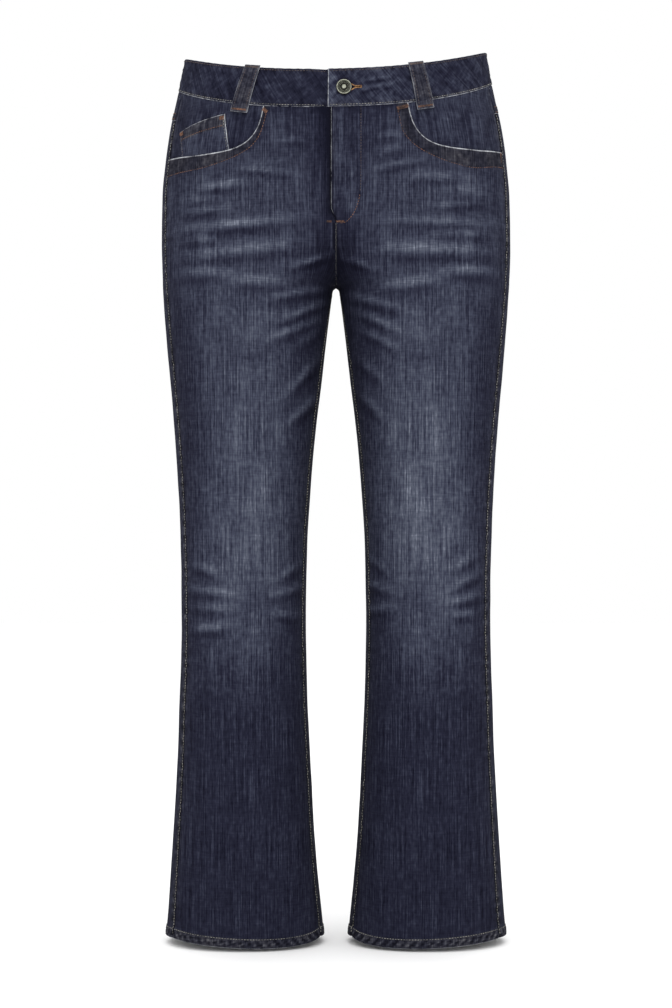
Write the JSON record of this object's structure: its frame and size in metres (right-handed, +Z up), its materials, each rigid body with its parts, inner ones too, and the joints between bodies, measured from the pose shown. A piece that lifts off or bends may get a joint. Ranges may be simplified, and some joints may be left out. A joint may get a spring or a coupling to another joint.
{
  "type": "bootcut jeans",
  "caption": "Five-pocket denim jeans, worn-shape and hollow, with a lapped waistband, scooped front pockets, button and zip fly, yokes, patch pockets and slightly flared hems",
  "frame": {"origin": "the middle of the waist opening at the height of the waist's sides, where the wearer holds the garment", "axes": "+X to the wearer's left, +Y to the wearer's back, +Z up; the front faces -Y"},
  "size_m": [0.4002, 0.2502, 1.0205],
  "materials": {
    "front_left": "worn dark denim",
    "front_right": "worn dark denim",
    "back_left": "worn dark denim",
    "back_right": "worn dark denim",
    "yoke_left": "worn dark denim",
    "yoke_right": "worn dark denim",
    "waistband": "worn dark denim",
    "loop_front_left": "worn dark denim",
    "loop_front_right": "worn dark denim",
    "loop_side_left": "worn dark denim",
    "loop_side_right": "worn dark denim",
    "loop_back": "worn dark denim",
    "facing_left": "worn dark denim",
    "facing_right": "worn dark denim",
    "coin_pocket": "worn dark denim",
    "back_pocket_left": "worn dark denim",
    "back_pocket_right": "worn dark denim",
    "fly_shield": "worn dark denim",
    "fly_zip": "woven tape",
    "zip_slider": "aged plating",
    "waist_button": "aged plating"
  },
  "bodies": {
    "root": {"front_left": "front_left", "front_right": "front_right", "back_left": "back_left", "back_right": "back_right", "yoke_left": "yoke_left", "yoke_right": "yoke_right", "waistband": "waistband", "loop_front_left": "loop_front_left", "loop_front_right": "loop_front_right", "loop_side_left": "loop_side_left", "loop_side_right": "loop_side_right", "loop_back": "loop_back", "facing_left": "facing_left", "facing_right": "facing_right", "coin_pocket": "coin_pocket", "back_pocket_left": "back_pocket_left", "back_pocket_right": "back_pocket_right", "fly_shield": "fly_shield", "fly_zip": "fly_zip", "zip_slider": "zip_slider", "waist_button": "waist_button"}
  },
  "joints": []
}
